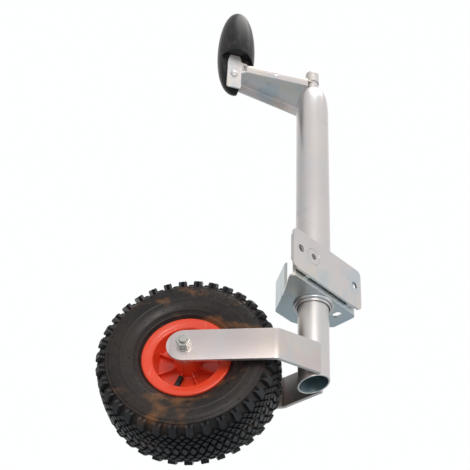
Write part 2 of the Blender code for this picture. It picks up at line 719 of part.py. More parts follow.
def air_tube(wheel):
    """The inflated tube: a thin ring, left open along its rim side."""
    centre = 81 * MM
    outer = 30 * MM
    opening = math.radians(12)
    section = []
    for radius, order in ((outer, 1), (outer - 1.6 * MM, -1)):
        turns = [math.pi + opening + (math.tau - 2 * opening) * k / 10 for k in range(11)]
        section += [(centre + radius * math.cos(a), radius * math.sin(a)) for a in turns[::order]]
    finish("air_tube", ring_of(section, 24), wheel, (TYRE_BLACK, 0.7, 0.0), rotation=facing("y"))


def valve(wheel):
    across = (math.pi / 2 - VALVE_ANGLE)
    at = (0, VALVE_Y, 0)
    stem = [(0, 24 * MM), (2.6 * MM, 24 * MM), (2.6 * MM, 30 * MM), (3.8 * MM, 31 * MM), (4 * MM, 49 * MM),
            (0, 49 * MM)]
    finish("valve_stem", ring_of(stem, 20), wheel, (BLACK_PLASTIC, 0.6, 0.0), at, (0, across, 0))
    cap = [(0, 20.5 * MM), (2.6 * MM, 20.5 * MM), (3.6 * MM, 21.5 * MM), (3.6 * MM, 29.4 * MM),
           (2.9 * MM, 29.4 * MM), (2.9 * MM, 23.7 * MM), (0, 23.7 * MM)]
    finish("valve_cap", ring_of(cap, 20), wheel, (BRASS, 0.35, 1.0), at, (0, across, 0))


def build():
    clear_scene()
    root = empty("mount_frame", (0, 0, 0))
    mount_plate(root)
    pivot_rivet(root)
    pivot_washer(root)
    swing = empty("bracket_pivot", (PIVOT_X, 0, PIVOT_Z), 0, root)
    leg = empty("leg_axis", (TUBE_X - PIVOT_X, TUBE_Y, -PIVOT_Z), 0, swing)
    outer_tube(leg)
    swivel_bracket(leg)
    collar_ring(leg)
    thrust_bearing(leg)
    lock_housing(leg)
    tip = BRACKET_FRONT - 0.4 * MM
    slide = empty("lock_slide", (LOCK_X - TUBE_X, -tip, PIVOT_Z), 0, leg)
    lock_pin(slide)
    lock_spring(slide)
    crank = empty("crank_axis", (0, 0, 0), CRANK_YAW, leg)
    spindle(crank)
    spindle_collar(crank)
    spindle_cap(crank)
    crank_arm(crank)
    grip_rivet(crank)
    hinge = empty("grip_hinge", (CRANK_REACH, CHANNEL_NEAR, CRANK_Z + SHEET - RIVET_DROP), 0, crank)
    grip(hinge)
    carriage = empty("nut_carriage", (0, 0, 0), 0, leg)
    spindle_nut(carriage)
    nut_circlip(carriage)
    fork = empty("fork_swivel_axis", (0, 0, 0), FORK_YAW, carriage)
    inner_tube(fork)
    fork_arm("fork_arm_near", fork, 1)
    fork_arm("fork_arm_far", fork, -1)
    axle = empty("axle_line", (FORK_OFFSET, 0, AXLE_Z), 0, fork)
    axle_parts(axle)
    wheel = empty("wheel_axis", (0, 0, 0), 0, axle)
    rim_half("rim_near", wheel, 1)
    rim_half("rim_far", wheel, -1)
    rim_screws(wheel)
    hub_bushes(wheel)
    tyre(wheel)
    air_tube(wheel)
    valve(wheel)


build()
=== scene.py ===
# %% [markdown]
# # A tongue jack stand in zinc, rubber and plastic
# This lesson dresses a jockey wheel: the crank-up leg and wheel that hold up the front of a trailer.
# The mechanism already exists as plain solids that a design script made. Those solids are the frame: they
# are never moved, and everything built here fits over them and rides on the same moving bodies.

# %% The frame
import json
import math

import bmesh
import bpy
import numpy as np
from mathutils import Matrix, Vector

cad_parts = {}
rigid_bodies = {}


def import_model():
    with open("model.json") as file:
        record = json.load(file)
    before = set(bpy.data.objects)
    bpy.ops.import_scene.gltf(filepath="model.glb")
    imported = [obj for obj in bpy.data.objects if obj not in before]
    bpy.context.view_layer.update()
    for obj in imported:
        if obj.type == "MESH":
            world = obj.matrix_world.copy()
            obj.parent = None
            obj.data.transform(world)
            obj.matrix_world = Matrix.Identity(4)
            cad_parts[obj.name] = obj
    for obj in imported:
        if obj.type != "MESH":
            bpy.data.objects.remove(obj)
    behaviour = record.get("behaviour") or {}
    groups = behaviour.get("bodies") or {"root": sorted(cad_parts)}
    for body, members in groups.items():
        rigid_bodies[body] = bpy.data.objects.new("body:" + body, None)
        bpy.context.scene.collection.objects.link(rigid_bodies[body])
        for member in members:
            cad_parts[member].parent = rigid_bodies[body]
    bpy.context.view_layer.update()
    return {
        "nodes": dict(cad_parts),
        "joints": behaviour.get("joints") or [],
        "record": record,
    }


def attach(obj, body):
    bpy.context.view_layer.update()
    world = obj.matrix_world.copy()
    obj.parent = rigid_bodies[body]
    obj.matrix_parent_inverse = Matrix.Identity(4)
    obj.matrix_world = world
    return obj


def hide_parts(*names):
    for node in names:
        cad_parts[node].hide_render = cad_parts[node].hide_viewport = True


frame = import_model()
JOINTS = {joint["name"]: joint for joint in frame["joints"]}
MM = 0.001
print("nodes:", len(frame["nodes"]), "joints:", ", ".join(JOINTS))

# %% [markdown]
# ## Where things are
# Nothing below guesses a size. Each piece asks the frame: a joint gives an axis, and a node's points give
# how far it reaches along any direction. So a change in the design script carries over to the looks.

# %% Axes and reaches
def reach(node, direction, origin=(0, 0, 0)):
    """The lowest and highest a node reaches along a direction, from an origin."""
    mesh = frame["nodes"][node].data
    points = np.empty(len(mesh.vertices) * 3)
    mesh.vertices.foreach_get("co", points)
    along = (points.reshape(-1, 3) - np.array(origin)) @ np.array(direction)
    return float(along.min()), float(along.max())


def axes_at(joint, facing):
    """A matrix whose Y lies on a level joint axis, whose Z is up and whose origin is the joint's place."""
    side = Vector(facing).normalized()
    ahead = side.cross(Vector((0, 0, 1)))
    place = Matrix.Translation(JOINTS[joint]["pos_m"])
    return place @ Matrix((ahead, side, (0, 0, 1))).transposed().to_4x4()


LEG = Matrix.Translation((*JOINTS["crank_turn"]["pos_m"][:2], 0))
LEG_AT = LEG.translation
WHEEL = axes_at("wheel_spin", JOINTS["wheel_spin"]["axis"])
WHEEL_AT = WHEEL.translation
NEAR, UP = WHEEL.col[1].xyz, Vector((0, 0, 1))
CRANK = LEG @ axes_at("grip_fold", JOINTS["grip_fold"]["axis"]).to_3x3().to_4x4()
TYRE_R = reach("tyre", UP, WHEEL_AT)[1]
TYRE_HALF = reach("tyre", NEAR, WHEEL_AT)[1]
print("wheel centre", [round(v, 4) for v in WHEEL_AT], "tyre", round(TYRE_R, 4), "x", round(2 * TYRE_HALF, 4))

# %% [markdown]
# ## Shader arithmetic
# Materials read best as sums, so a small class wraps a shader output. Adding or scaling two of them adds a
# Math node, or a Vector Math node when one side is a colour or a vector. Every other node goes through one
# method that takes the node's type, its settings and its inputs.

# %% A wire and a bench
class Wire:
    """A shader output that can be added and scaled like a number."""

    def __init__(self, bench, out):
        self.bench = bench
        self.out = out

    def wide(self):
        return self.out.type in ("RGBA", "VECTOR")

    def sum(self, operation, first, second):
        wide = any(isinstance(side, Wire) and side.wide() for side in (first, second))
        kind = "ShaderNodeVectorMath" if wide else "ShaderNodeMath"
        if wide:
            first, second = (side if isinstance(side, Wire) else (side,) * 3 for side in (first, second))
        return self.bench.node(kind, {"operation": operation}, {0: first, 1: second})

    def __add__(self, other):
        return self.sum("ADD", self, other)

    def __radd__(self, other):
        return self.sum("ADD", other, self)

    def __mul__(self, other):
        return self.sum("MULTIPLY", self, other)

    def over(self, edge, width):
        """0 below an edge, 1 above it, with a soft step of that width."""
        settings = {"interpolation_type": "SMOOTHSTEP"}
        inputs = {0: self, 1: edge - width / 2, 2: edge + width / 2}
        return self.bench.node("ShaderNodeMapRange", settings, inputs)


class Bench:
    """One material being put together, node by node."""

    def __init__(self, name):
        self.material = bpy.data.materials.new(name)
        self.material.use_nodes = True
        self.tree = self.material.node_tree
        self.shader = self.tree.nodes["Principled BSDF"]

    def node(self, kind, settings=None, inputs=None, pick=0):
        made = self.tree.nodes.new(kind)
        for key, value in (settings or {}).items():
            setattr(made, key, value)
        for key, value in (inputs or {}).items():
            self.plug(made.inputs[key], value)
        return Wire(self, made.outputs[pick])

    def plug(self, socket, value):
        if isinstance(value, Wire):
            self.tree.links.new(value.out, socket)
        else:
            socket.default_value = value

    def place(self, stretch=(1, 1, 1)):
        """Where a point is on the piece, in metres, stretched for grain that runs one way."""
        spot = self.node("ShaderNodeTexCoord", pick="Object")
        return self.node("ShaderNodeVectorMath", {"operation": "MULTIPLY"}, {0: spot, 1: stretch})

    def noise(self, scale, detail=4.0, roughness=0.55, stretch=(1, 1, 1)):
        inputs = {"Vector": self.place(stretch), "Scale": scale, "Detail": detail, "Roughness": roughness}
        return self.node("ShaderNodeTexNoise", {}, inputs)

    def blend(self, amount, first, second):
        """From one colour to another."""
        pair = [side if isinstance(side, Wire) else (*side, 1.0) for side in (first, second)]
        inputs = {0: amount, 6: pair[0], 7: pair[1]}
        return self.node("ShaderNodeMix", {"data_type": "RGBA"}, inputs, 2)

    def bump(self, height, strength, distance):
        inputs = {"Height": height, "Strength": strength, "Distance": distance}
        return self.node("ShaderNodeBump", {}, inputs)

    def done(self, **inputs):
        for key, value in inputs.items():
            self.plug(self.shader.inputs[key.replace("_", " ")], value)
        return self.material


print("bench ready")

# %% [markdown]
# ## Bright zinc
# Every steel piece here is electroplated: pressed or drawn first, then dipped. The coat is pale and slightly
# warm, with faint yellow and blue tints in soft patches, long drawing lines on the tubes, and a few rubbed or
# cloudy spots where the roughness changes. One function makes the whole family: a tube, a strap and a sheet
# differ in the direction of the grain, the strength of the tints and the colour underneath.

# %% The zinc family
def zinc(name, grain, tint=0.5, base=(0.76, 0.715, 0.70)):
    bench = Bench(name)
    cloud = bench.noise(9.0, 3.0)
    streak = bench.noise(60.0, 5.0, 0.6, grain)
    fine = bench.noise(900.0, 2.0)
    scuff = bench.noise(38.0, 6.0, 0.7).over(0.63, 0.09)
    warm = bench.noise(15.0, 2.0).over(0.6, 0.25) * tint
    cool = bench.noise(22.0, 2.0, 0.5, (1.3, 1.1, 0.8)).over(0.58, 0.22) * tint
    colour = bench.blend(cloud, tuple(c * 0.9 for c in base), tuple(c * 1.08 for c in base))
    colour = bench.blend(warm, colour, (0.80, 0.72, 0.58))
    colour = bench.blend(cool, colour, (0.58, 0.66, 0.72))
    colour = bench.blend(scuff * 0.35, colour, (0.52, 0.51, 0.51))
    roughness = 0.20 + cloud * 0.16 + streak * 0.12 + scuff * 0.16
    height = streak * 0.6 + fine * 0.4 + cloud * 1.5
    return bench.done(
        Base_Color=colour,
        Metallic=0.88,
        Roughness=roughness,
        Normal=bench.bump(height, 0.22, 0.0005),
    )


ZINC_TUBE = zinc("zinc_drawn_tube", (1.0, 1.0, 0.06), 0.3)
ZINC_SHEET = zinc("zinc_pressed_sheet", (0.7, 0.7, 1.0), 0.75)
ZINC_STRAP = zinc("zinc_strap", (0.25, 0.25, 1.2), 0.35, (0.66, 0.595, 0.585))
# A blue-grey copy of the zinc for the bracket: painted light, the cool bounce from the floor on its downward
# faces put into its colour.
ZINC_PAINTED_COOL_BOUNCE = zinc("zinc_painted_cool_bounce", (0.7, 0.7, 1.0), 0.7, (0.62, 0.68, 0.69))
# A darker teal copy of the zinc for the inside of the inner tube: painted shade, standing in for the shadow
# in the bore.
ZINC_PAINTED_SHADE_BORE = zinc("zinc_bore_painted_shade", (1.0, 1.0, 0.4), 0.1, (0.30, 0.40, 0.43))
print("zinc:", ZINC_TUBE.name, ZINC_SHEET.name, ZINC_STRAP.name)

# %% [markdown]
# ## Fastener steel, bronze and brass
# Bolts are plated in bulk in a barrel, so they come out brighter, a little yellower and evenly dimpled.
# The nut inside the leg is bronze, and the valve's cap is old brass that has gone nearly black.

# %% Small metals
def turned_metal(name, base, rough):
    bench = Bench(name)
    cloud = bench.noise(70.0, 4.0)
    dimple = bench.noise(520.0, 3.0)
    dirt = bench.noise(150.0, 5.0, 0.7).over(0.6, 0.12)
    colour = bench.blend(cloud, tuple(c * 0.8 for c in base), tuple(min(1.0, c * 1.12) for c in base))
    colour = bench.blend(dirt * 0.5, colour, tuple(c * 0.45 for c in base))
    return bench.done(
        Base_Color=colour,
        Metallic=0.95,
        Roughness=rough + cloud * 0.12 + dirt * 0.2,
        Normal=bench.bump(dimple + cloud, 0.25, 0.0002),
    )


BOLT_STEEL = turned_metal("bolt_steel", (0.66, 0.65, 0.60), 0.2)
BRONZE = turned_metal("bronze", (0.5, 0.32, 0.16), 0.3)
BRASS = turned_metal("brass_darkened", (0.05, 0.042, 0.035), 0.5)
print("small metals ready")

# %% [markdown]
# ## Rubber
# A new tyre is never plain black. Mould release leaves it brown-grey and dusty, worst on the sidewall, and
# orange-brown smudges sit where it leaned on something. The tread is cleaner and cooler. The smudges are
# one broad noise, thresholded, and the dust is a finer one that also makes the surface rougher.

# %% Tyre and plain rubber
def rubber(name, clean, dusty, smudge, dust=0.5, shine=0.42):
    bench = Bench(name)
    broad = bench.noise(11.0, 3.0, 0.6)
    grain = bench.noise(700.0, 3.0)
    powder = bench.noise(95.0, 6.0, 0.68)
    stain = bench.noise(17.0, 4.0, 0.55, (1.0, 1.0, 1.6)).over(0.61, 0.14)
    dusting = (broad * 0.7 + powder * 0.5).over(0.62, 0.36) * dust
    colour = bench.blend(dusting, clean, dusty)
    colour = bench.blend(stain * smudge, colour, (0.20, 0.085, 0.03))
    speck = bench.noise(420.0, 2.0, 0.5).over(0.72, 0.05) * dust
    colour = bench.blend(speck, colour, (0.13, 0.12, 0.11))
    return bench.done(
        Base_Color=colour,
        Roughness=shine + dusting * 0.35 + powder * 0.12,
        Normal=bench.bump(grain * 0.6 + powder, 0.35, 0.0003),
        Specular_IOR_Level=0.32,
    )


SIDEWALL = rubber("tyre_sidewall", (0.010, 0.0085, 0.008), (0.038, 0.026, 0.021), 0.75, 0.6, 0.3)
TREAD = rubber("tyre_tread", (0.010, 0.011, 0.013), (0.036, 0.035, 0.036), 0.2, 0.5, 0.3)
SOFT_RUBBER = rubber("plain_rubber", (0.018, 0.018, 0.018), (0.05, 0.05, 0.05), 0.0, 0.3)
print("rubbers ready")

# %% [markdown]
# ## Plastics
# The rim is injection-moulded polypropylene, coloured through: an orange red with soft gloss, very faint
# flow marks and fine scratches. The handle is a satin black moulding with a fine grain.
# The bushes are natural nylon, milky and slightly yellow.

# %% Rim, handle and bush plastics
def moulded(name, low, high, rough, grain_scale, grain_height, coat=0.0, glint=0.5):
    bench = Bench(name)
    flow = bench.noise(26.0, 4.0, 0.6, (1.0, 1.0, 2.0))
    grain = bench.noise(grain_scale, 2.0)
    scratch = bench.noise(160.0, 6.0, 0.75, (1.0, 1.0, 0.15)).over(0.66, 0.05)
    dust = bench.noise(60.0, 5.0, 0.7).over(0.6, 0.2)
    colour = bench.blend(flow, low, high)
    colour = bench.blend(scratch * 0.25, colour, tuple(0.5 + 0.5 * c for c in high))
    colour = bench.blend(dust * 0.10, colour, (0.3, 0.24, 0.2))
    return bench.done(
        Base_Color=colour,
        Roughness=rough + flow * 0.08 + dust * 0.12,
        Coat_Weight=coat,
        Coat_Roughness=0.15,
        Specular_IOR_Level=glint,
        Normal=bench.bump(grain + flow * 0.5, 0.3, grain_height),
    )


RIM_RED = moulded("rim_plastic", (0.76, 0.045, 0.012), (0.84, 0.07, 0.02), 0.3, 420.0, 0.0002, 0.25)
GRIP_BLACK = moulded("grip_plastic", (0.008, 0.008, 0.009), (0.014, 0.014, 0.015), 0.28, 900.0, 0.0002,
                     glint=0.25)
NYLON = moulded("nylon", (0.70, 0.69, 0.62), (0.78, 0.77, 0.71), 0.4, 300.0, 0.0002)
print("plastics ready")

# %% [markdown]
# ## From points to pieces
# Three ways of making a shape cover this whole object. A lathe turns an outline about an axis. A plate cuts
# an outline from flat sheet. A strap follows a path with a constant section. Each makes a bmesh in the
# piece's own axes, and `piece` puts it in place, shades it and hands it to its moving body.

# %% Making a piece
REBUILT = set()
SMOOTH_UNDER = 34


def piece(name, bm, body, material, where=None, replaces=(), sharp=SMOOTH_UNDER):
    bmesh.ops.remove_doubles(bm, verts=bm.verts, dist=1e-6)
    bmesh.ops.recalc_face_normals(bm, faces=bm.faces)
    if bm.calc_volume(signed=True) < 0:
        bmesh.ops.reverse_faces(bm, faces=bm.faces)
    if where is not None:
        bm.transform(where)
    mesh = bpy.data.meshes.new(name)
    bm.to_mesh(mesh)
    bm.free()
    made = bpy.data.objects.new(name, mesh)
    bpy.context.scene.collection.objects.link(made)
    mesh.materials.append(material)
    mesh.shade_smooth()
    mesh.set_sharp_from_angle(angle=math.radians(sharp))
    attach(made, body)
    if replaces:
        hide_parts(*replaces)
        REBUILT.update(replaces)
    print(f"{name}: {len(mesh.vertices)} points on {body}")
    return made


def lathe(outline, steps=128):
    """Turns a closed outline of (radius, height) points about Z."""
    bm = bmesh.new()
    rings = []
    for radius, height in outline:
        count = 1 if radius < 1e-6 else steps
        spots = [math.tau * k / steps for k in range(count)]
        rings.append([bm.verts.new((radius * math.cos(a), radius * math.sin(a), height)) for a in spots])
    for low, high in zip(rings, rings[1:] + rings[:1]):
        if len(low) == 1 and len(high) == 1:
            continue
        for k in range(steps):
            n = k + 1
            corners = [low[k % len(low)], low[n % len(low)], high[n % len(high)], high[k % len(high)]]
            bm.faces.new(list(dict.fromkeys(corners)))
    return bm


def plate(outline, low, high):
    """Extrudes a closed (x, y) outline from one height to another."""
    bm = bmesh.new()
    face = bm.faces.new([bm.verts.new((x, y, low)) for x, y in outline])
    lifted = bmesh.ops.extrude_face_region(bm, geom=[face])["geom"]
    verts = [item for item in lifted if isinstance(item, bmesh.types.BMVert)]
    bmesh.ops.translate(bm, verts=verts, vec=(0, 0, high - low))
    return bm


def skin(bm, rings, closed_ends=False):
    """Joins rings of points into a tube of quads, with a face over each end if asked."""
    for first, second in zip(rings, rings[1:]):
        for k in range(len(first)):
            n = (k + 1) % len(first)
            bm.faces.new((first[k], first[n], second[n], second[k]))
    if closed_ends:
        bm.faces.new(rings[0])
        bm.faces.new(rings[-1])


def soften(made, width, segments=3, angle=30):
    """Rounds the edges that a press, a saw or a mould would leave slightly rounded."""
    bevel = made.modifiers.new("soft_edges", "BEVEL")
    bevel.width = width
    bevel.segments = segments
    bevel.limit_method = "ANGLE"
    bevel.angle_limit = math.radians(angle)
    bevel.harden_normals = True
    return made


def arc(centre, radius, start, end, steps):
    """Points on a circle, both ends included, with angles in degrees."""
    turns = [math.radians(start + (end - start) * k / steps) for k in range(steps + 1)]
    return [(centre[0] + radius * math.cos(t), centre[1] + radius * math.sin(t)) for t in turns]


TO_Y = Matrix.Rotation(-math.pi / 2, 4, "X")
FACING_Y = Matrix.Rotation(math.pi / 2, 4, "X")
print("shapes ready")

# %% [markdown]
# ## The leg's two tubes
# The outer tube is drawn, then its top is swaged: squeezed in a die until it closes round the spindle. The
# curve of that nose falls slowly at first and fast at the end, which a cube under a square root gives. Its
# mouth is rolled to a rounded lip. The inner tube is sawn off at a slant at its foot, longer on the wheel's
# side, so its lathe rings are tilted there after they are made.

# %% Outer tube
OUTER_R = reach("outer_tube", (1, 0, 0), LEG_AT)[1]
OUTER_LOW, OUTER_HIGH = reach("outer_tube", UP)
OUTER_WALL = 1.8 * MM
SWAGE_HEIGHT = 60 * MM
SWAGE_TOP_R = 11 * MM
SWAGE_LOW = OUTER_HIGH - SWAGE_HEIGHT


def swage_radius(along):
    return SWAGE_TOP_R + (OUTER_R - SWAGE_TOP_R) * math.sqrt(1 - along**3)


def outer_outline():
    lip = 0.7 * MM
    steps = [math.sin(k / 28 * math.pi / 2) for k in range(29)]
    nose = [(swage_radius(s), SWAGE_LOW + s * SWAGE_HEIGHT) for s in steps]
    bore = reach("spindle", (1, 0, 0), LEG_AT)[1] + 0.5 * MM
    inner = [(swage_radius(s) - OUTER_WALL, SWAGE_LOW + s * SWAGE_HEIGHT - 0.9 * MM * s) for s in steps[:-2]]
    mouth = [(OUTER_R - OUTER_WALL, OUTER_LOW + lip)]
    mouth += arc((OUTER_R - OUTER_WALL + lip, OUTER_LOW + lip), lip, 180, 270, 4)
    mouth += arc((OUTER_R - lip, OUTER_LOW + lip), lip, 270, 360, 4)
    return mouth + nose + [(bore, OUTER_HIGH), (bore, OUTER_HIGH - 2.2 * MM)] + inner[::-1]


piece("outer_tube_drawn", lathe(outer_outline(), 144), "outer_leg", ZINC_TUBE, LEG,
      ["outer_tube"])

# %% Inner tube
INNER_R = 21 * MM
INNER_WALL = 2 * MM
INNER_LOW, INNER_HIGH = reach("inner_tube", UP)
FOOT_SLOPE = math.tan(math.radians(14))


def inner_tube():
    lip = 0.45 * MM
    outline = [(INNER_R - INNER_WALL, INNER_HIGH), (INNER_R - INNER_WALL, INNER_LOW + lip)]
    outline += arc((INNER_R - INNER_WALL + lip, INNER_LOW + lip), lip, 180, 270, 3)
    outline += arc((INNER_R - lip, INNER_LOW + lip), lip, 270, 360, 3)
    outline += [(INNER_R, INNER_HIGH)]
    bm = lathe(outline, 128)
    for vert in bm.verts:
        if vert.co.z < INNER_LOW + 5 * MM:
            vert.co.z += (INNER_R - vert.co.x) * FOOT_SLOPE
    return bm


FORK = LEG @ WHEEL.to_3x3().to_4x4()
sawn = piece("inner_tube_sawn", inner_tube(), "fork", ZINC_TUBE, FORK, ["inner_tube"])
# The faces inside the bore get the darker copy, which paints the shade inside the tube into their colour.
sawn.data.materials.append(ZINC_PAINTED_SHADE_BORE)
for polygon in sawn.data.polygons:
    from_axis = polygon.center - LEG_AT
    if Vector((from_axis.x, from_axis.y)).length < INNER_R - INNER_WALL + 0.05 * MM:
        polygon.material_index = 1

# %% [markdown]
# ## The collar at the leg's mouth
# A ring is pressed on under the bracket and its edge is rolled, so that two bright rims show, one inside
# the other. A rounded outline is enough to catch both highlights.

# %% Collar ring
COLLAR_LOW, COLLAR_HIGH = reach("collar_ring", UP)
COLLAR_R = reach("collar_ring", (1, 0, 0), LEG_AT)[1]


def collar_outline():
    inner = OUTER_R + 0.3 * MM
    fillet = 1.5 * MM
    rolled = arc((COLLAR_R - fillet, COLLAR_LOW + fillet), fillet, 270, 360, 6)
    lead_in = [(inner, COLLAR_LOW + 0.6 * MM), (inner + 0.5 * MM, COLLAR_LOW)]
    return lead_in + rolled + [(COLLAR_R, COLLAR_HIGH), (inner, COLLAR_HIGH)]


piece("collar_rolled", lathe(collar_outline(), 128), "outer_leg", ZINC_SHEET, LEG,
      ["collar_ring"])

# %% [markdown]
# ## The fork's straps
# Each arm is a length of flat bar with a rounded nose. It runs beside the wheel, bends once and lies against
# the tube, where it is welded. The bend has a real radius, because a brake never folds bar to a sharp
# corner, so the path's corner becomes an arc. The nose is a half circle, and every edge is slightly round.

# %% Fork arms
ARM_THICK = 5 * MM
ARM_LOW, ARM_HIGH = reach("fork_arm_near", UP)
ARM_HALF = (ARM_HIGH - ARM_LOW) / 2
ARM_OUTER = reach("fork_arm_near", NEAR, LEG_AT)[1]
AXLE_AHEAD = (WHEEL_AT - Vector((*LEG_AT[:2], WHEEL_AT.z))).length
SLANT = 36
BEND_AT = 42 * MM
BEND_R = 14 * MM
SHORT = 6 * MM


def strap_path():
    """The outer face seen from above, as (place, leftward normal) pairs, from the axle to the tube."""
    slant = math.radians(SLANT)
    drop = BEND_R * math.tan(slant / 2)
    centre = (BEND_AT + drop, ARM_OUTER - BEND_R)
    path = [((x, ARM_OUTER), 90) for x in np.linspace(AXLE_AHEAD, BEND_AT + drop + 4 * MM, 12)]
    bend = arc(centre, BEND_R, 90, 90 + SLANT, 8)
    path += [(spot, 90 + SLANT * k / 8) for k, spot in enumerate(bend)]
    beside = INNER_R + 0.3 * MM + ARM_THICK
    touch = math.pi / 2 + slant
    end = (beside * math.cos(touch) + SHORT * math.cos(slant),
           beside * math.sin(touch) + SHORT * math.sin(slant))
    last = bend[-1]
    for share in (0.3, 0.6, 0.9, 1.0):
        path.append((tuple(np.add(last, np.subtract(end, last) * share)), 90 + SLANT))
    return path


def strap(side):
    """A strap as a ring of section points carried along its path; the nose is fanned round the axle."""
    edge = 0.8 * MM
    corners = ((-edge, 1, 90), (-edge, -1, 0), (-ARM_THICK + edge, -1, -90), (-ARM_THICK + edge, 1, 180))
    section = []
    for depth, up, start in corners:
        section += arc((depth, up * (ARM_HALF - edge)), edge, start, start - 90, 3)
    bm = bmesh.new()
    rings = []
    nose_steps = 14
    for k in range(nose_steps, 0, -1):
        reach_out = ARM_HALF * math.sin(k / nose_steps * math.pi / 2)
        squeeze = max(math.cos(k / nose_steps * math.pi / 2), 0.02)
        rings.append([(AXLE_AHEAD + reach_out, ARM_OUTER + d, h * squeeze) for d, h in section])
    for (x, y), normal in strap_path():
        nx, ny = math.cos(math.radians(normal)), math.sin(math.radians(normal))
        rings.append([(x + d * nx, y + d * ny, h) for d, h in section])
    rows = [[bm.verts.new((x, side * y, WHEEL_AT.z + z)) for x, y, z in ring] for ring in rings]
    skin(bm, rows, closed_ends=True)
    return bm


for place, side in (("near", 1), ("far", -1)):
    piece(f"strap_{place}", strap(side), "fork", ZINC_STRAP, FORK, [f"fork_arm_{place}"])

# %% [markdown]
# ## The tyre's carcass
# The carcass is a lathe shape too. Its outline swells from the bead to the widest point and over to the
# crown, as a superellipse with a low power, and small steps in it give the raised rings that a mould leaves
# on a sidewall. It stops short of the full radius, because the tread blocks make up the rest.

# %% Carcass
BLOCK_HEIGHT = 6 * MM
MIDDLE_R = 86 * MM
CROWN = TYRE_R - BLOCK_HEIGHT - MIDDLE_R
RIM_LIP = reach("rim_near", UP, WHEEL_AT)[1]
RIM_SEAT = 45 * MM
SQUARE = 0.64
BEAD_DROP = 31 * MM
RING_ROOM = 1.5 * MM


def tyre_point(turn, out=0.0):
    """(radius, side) on the carcass: turn is 0 at the widest point, 90 at the crown, negative to the bead."""
    angle = math.radians(abs(turn))
    if turn >= 0:
        radius = MIDDLE_R + (CROWN + out) * math.sin(angle) ** SQUARE
        side = (TYRE_HALF + out * 0.4 - RING_ROOM) * math.cos(angle) ** SQUARE
    else:
        radius = MIDDLE_R - BEAD_DROP * math.sin(angle)
        side = (TYRE_HALF - RING_ROOM) * math.cos(angle) ** 0.55
    return radius, side


def raised_ring(turn):
    """How far the mould's rings stand out at a place on the sidewall."""
    rings = ((27, 2.2, 1.1), (-2, 1.4, 0.5), (-34, 2.0, 0.7), (-47, 1.8, 0.9), (17, 1.2, 0.4))
    return sum(height * math.exp(-(((turn - at) / width) ** 4)) for at, width, height in rings) * MM


def carcass_outline():
    half = []
    for turn in np.linspace(-63, 88, 120):
        radius, side = tyre_point(turn)
        lean = math.radians(max(turn, 0))
        out = raised_ring(turn)
        half.append((radius + out * math.sin(lean), side + out * math.cos(lean)))
    bead = [(RIM_SEAT + 0.6 * MM, 22 * MM), (RIM_SEAT + 0.6 * MM, 28.4 * MM), (RIM_LIP - 3 * MM, 29.4 * MM)]
    outer = bead + half
    inner = [(r - 7 * MM, s - 7 * MM) for r, s in half[10::8]]
    return outer + [(r, -s) for r, s in outer[::-1]] + [(r, -s) for r, s in inner] + inner[::-1]


piece("tyre_carcass", lathe(carcass_outline(), 168), "wheel", SIDEWALL, WHEEL @ TO_Y,
      ["tyre"], 60)

# %% [markdown]
# ## The tread
# Two kinds of block repeat round the tyre. A tall lug stands on each shoulder and ends in a fork, with a
# notch at its foot. Between the shoulders, rows of small lozenges are set half a step apart, so that the
# grooves between them cross like a net. Each block is a patch of the carcass's own surface, raised and drawn
# in a little at its top, so it follows the curve whatever the tyre's size.

# %% Blocks on the tyre's surface
LUG_COUNT = 34
LUG_HEIGHT = 8 * MM
LOZENGE_COUNT = 68
LOZENGE_ROWS = 4
LOZENGE_STEP = 0.112
SHOULDER_SPAN = 66


def on_tyre(round_turn, across, out):
    """A point on the wheel: across runs from -1 at one shoulder's foot through 0 at the crown to 1."""
    turn = 90 - abs(across) * SHOULDER_SPAN
    radius, side = tyre_point(turn)
    lean = math.radians(turn)
    radius += out * max(math.sin(lean), 0.82)
    side = math.copysign(side + out * math.cos(lean) * 0.55, across if across else 1.0)
    return radius * math.cos(round_turn), side, radius * math.sin(round_turn)


def block(bm, outline, height, taper=0.84):
    """Raises one block from a patch outline of (angle round the wheel, place across) points."""
    middle = np.mean(np.array(outline), axis=0)
    rings = []
    for shrink, out in ((1.0, -1.5 * MM), (0.95, height * 0.85), (taper, height)):
        spots = [middle + (np.array(spot) - middle) * shrink for spot in outline]
        rings.append([bm.verts.new(on_tyre(angle, across, out)) for angle, across in spots])
    skin(bm, rings)
    count = len(outline)
    for ring in (rings[-1], rings[0][::-1]):
        centre = bm.verts.new(sum((v.co for v in ring), Vector()) / count)
        for k in range(count):
            bm.faces.new((ring[k], ring[(k + 1) % count], centre))


def tread():
    bm = bmesh.new()
    pitch = math.tau / LUG_COUNT
    wide = pitch * 0.25
    lug = [(-wide, 0.51), (wide, 0.51), (wide, 0.7), (wide * 1.12, 0.93), (wide * 0.42, 0.93),
           (0, 0.84), (-wide * 0.42, 0.93), (-wide * 1.12, 0.93), (-wide, 0.7)]
    for k in range(LUG_COUNT):
        for side in (1, -1):
            at = pitch * (k + (0.5 if side < 0 else 0.0))
            block(bm, [(at + a, side * c) for a, c in lug], LUG_HEIGHT)
    pitch = math.tau / LOZENGE_COUNT
    for row in range(-LOZENGE_ROWS, LOZENGE_ROWS + 1):
        across = row * LOZENGE_STEP
        long, tall = pitch * 0.42, LOZENGE_STEP * 0.43
        lozenge = [(-long, 0), (-long * 0.25, -tall), (long * 0.25, -tall), (long, 0), (long * 0.25, tall),
                   (-long * 0.25, tall)]
        for k in range(LOZENGE_COUNT):
            at = pitch * (k + (0.5 if row % 2 else 0.0))
            block(bm, [(at + a, across + c) for a, c in lozenge], BLOCK_HEIGHT * 0.72)
    return bm


piece("tyre_tread", tread(), "wheel", TREAD, WHEEL)

# %% [markdown]
# ## Mould nibs
# Rubber squeezed into the mould's air holes leaves thin whiskers, cut off as short nibs in rings on the
# sidewall. They are tiny, but they say rubber at once.

